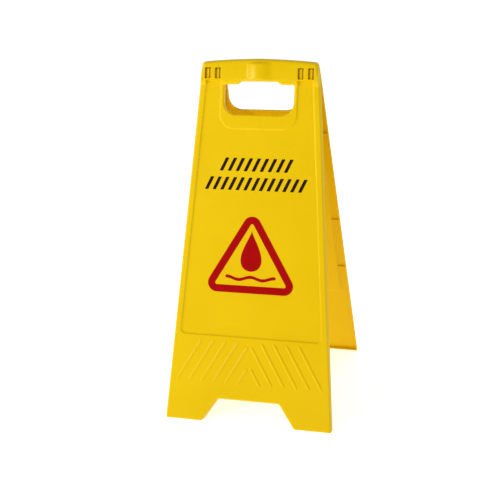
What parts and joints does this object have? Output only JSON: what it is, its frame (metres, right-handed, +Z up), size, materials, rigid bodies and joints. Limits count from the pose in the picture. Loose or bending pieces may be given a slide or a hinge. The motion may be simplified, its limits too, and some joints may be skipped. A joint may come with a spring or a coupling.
{
  "type": "folding floor warning sign",
  "caption": "A-frame wet floor sign: moulded panels hinged under a carry handle, with a hand hole, feet and a printed water-drop warning.",
  "frame": {"origin": "on the floor, midway between the feet of the open sign", "axes": "+Z up, +X across the sign, the front panel's printed face towards -Y, the rear panel's towards +Y"},
  "size_m": [0.2996, 0.3364, 0.6079],
  "materials": {
    "moulded_yellow": "injection-moulded polypropylene, semi-gloss yellow",
    "pin_steel": "yellow-passivated zinc-plated steel wire",
    "black_ink": "screen-printed black ink",
    "red_ink": "screen-printed red ink"
  },
  "bodies": {
    "front": {"front_panel": "moulded_yellow", "hinge_pin_left": "pin_steel", "hinge_pin_right": "pin_steel", "front_upper_stripe_band": "black_ink", "front_lower_stripe_band": "black_ink", "front_triangle_ring": "red_ink", "front_water_drop": "red_ink", "front_puddle_wave": "red_ink"},
    "rear": {"rear_panel": "moulded_yellow", "rear_upper_stripe_band": "black_ink", "rear_lower_stripe_band": "black_ink", "rear_triangle_ring": "red_ink", "rear_water_drop": "red_ink", "rear_puddle_wave": "red_ink"}
  },
  "joints": [
    {"name": "fold", "type": "hinge", "parent": "front", "child": "rear", "pos_m": [0, 0, 0.58039], "axis": [-1, 0, 0], "range_deg": [0, 30.8]}
  ]
}
